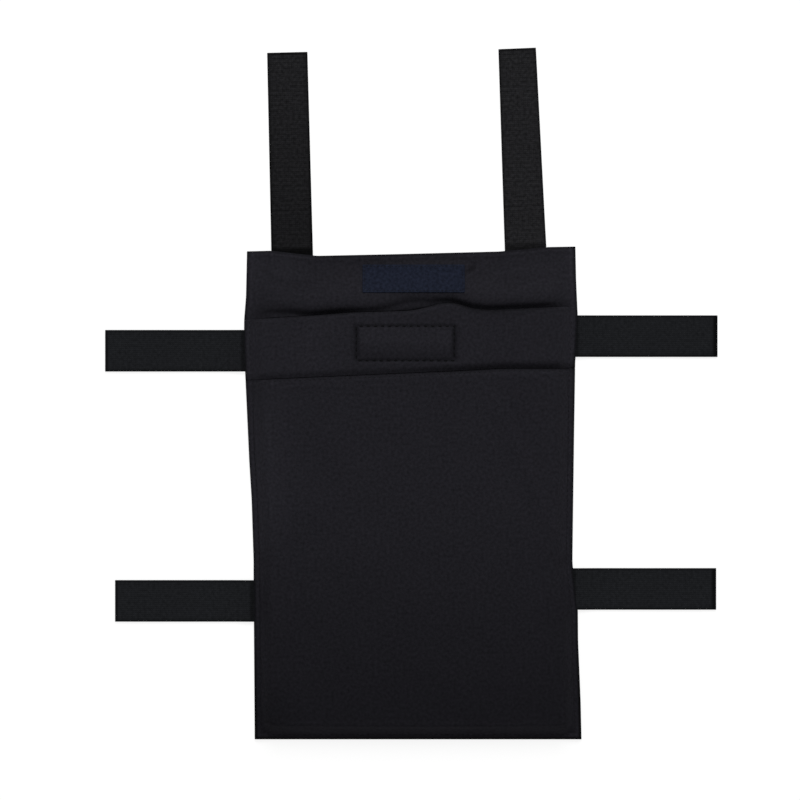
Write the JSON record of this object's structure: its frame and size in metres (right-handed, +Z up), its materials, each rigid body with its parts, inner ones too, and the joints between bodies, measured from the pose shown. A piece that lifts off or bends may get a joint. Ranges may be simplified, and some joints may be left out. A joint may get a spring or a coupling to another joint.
{
  "type": "kick shield",
  "caption": "Flat strap-on kick shield: a black cloth sleeve with a removable foam pad, a hook-and-loop mouth and ribbed and smooth webbing straps.",
  "frame": {"origin": "on the surface that the shield lies on, under the middle of its whole outline with the straps laid out", "axes": "+Z up through the front, from the back face to the front face; +Y along the sleeve towards the two top straps; +X to the right as seen from the front"},
  "size_m": [0.3732, 0.4216, 0.0125],
  "materials": {
    "shell_cloth": "matt black woven cloth",
    "lining_cloth": "black brushed lining with a foam back",
    "pad_foam": "dark grey closed-cell foam, matt",
    "hook_tape": "black hook tape",
    "loop_tape": "black loop tape, soft pile",
    "label_cloth": "plain navy woven label",
    "sewing_thread": "black sewing thread",
    "side_webbing": "smooth black webbing",
    "top_webbing": "ribbed black webbing"
  },
  "bodies": {
    "sleeve": {"back_panel": "shell_cloth", "back_lining": "lining_cloth", "top_band": "shell_cloth", "front_panel": "shell_cloth", "front_lining": "lining_cloth", "loop_patch": "loop_tape", "label_patch": "label_cloth", "label_stitching": "sewing_thread", "lip_seam_stitching": "sewing_thread", "edge_seam_stitching": "sewing_thread", "left_upper_strap_root": "side_webbing", "right_upper_strap_root": "side_webbing", "left_lower_strap_root": "side_webbing", "right_lower_strap_root": "side_webbing", "left_top_strap_root": "top_webbing", "right_top_strap_root": "top_webbing"},
    "lip": {"lip_band": "shell_cloth", "hook_patch": "hook_tape", "patch_stitching": "sewing_thread"},
    "pad": {"foam_pad": "pad_foam"},
    "left_upper_strap": {"left_upper_strap": "side_webbing"},
    "right_upper_strap": {"right_upper_strap": "side_webbing"},
    "left_lower_strap": {"left_lower_strap": "side_webbing"},
    "right_lower_strap": {"right_lower_strap": "side_webbing"},
    "left_top_strap": {"left_top_strap": "top_webbing"},
    "right_top_strap": {"right_top_strap": "top_webbing"}
  },
  "joints": [
    {"name": "lip_close", "type": "hinge", "parent": "sleeve", "child": "lip", "pos_m": [0, 0.01285, 0.0114], "axis": [0.9992, 0.0394, 0], "range_deg": [-11, 0]},
    {"name": "pad_slide", "type": "slide", "parent": "sleeve", "child": "pad", "axis": [0, 1, 0], "range_m": [0, 0.295]},
    {"name": "left_upper_strap_fold", "type": "hinge", "parent": "sleeve", "child": "left_upper_strap", "pos_m": [-0.1016, 0.0268, 0.0074], "axis": [0, 1, 0], "range_deg": [0, 179]},
    {"name": "right_upper_strap_fold", "type": "hinge", "parent": "sleeve", "child": "right_upper_strap", "pos_m": [0.1016, 0.0357, 0.0074], "axis": [0, -1, 0], "range_deg": [0, 179]},
    {"name": "left_lower_strap_fold", "type": "hinge", "parent": "sleeve", "child": "left_lower_strap", "pos_m": [-0.09624, -0.1256, 0.0074], "axis": [0, 1, 0], "range_deg": [0, 179]},
    {"name": "right_lower_strap_fold", "type": "hinge", "parent": "sleeve", "child": "right_lower_strap", "pos_m": [0.09998, -0.1183, 0.0074], "axis": [0, -1, 0], "range_deg": [0, 179]},
    {"name": "left_top_strap_fold", "type": "hinge", "parent": "sleeve", "child": "left_top_strap", "pos_m": [-0.07262, 0.08711, 0.00815], "axis": [-1, 0, 0], "range_deg": [-179, 0]},
    {"name": "right_top_strap_fold", "type": "hinge", "parent": "sleeve", "child": "right_top_strap", "pos_m": [0.06956, 0.08982, 0.00815], "axis": [-1, 0, 0], "range_deg": [-179, 0]}
  ]
}
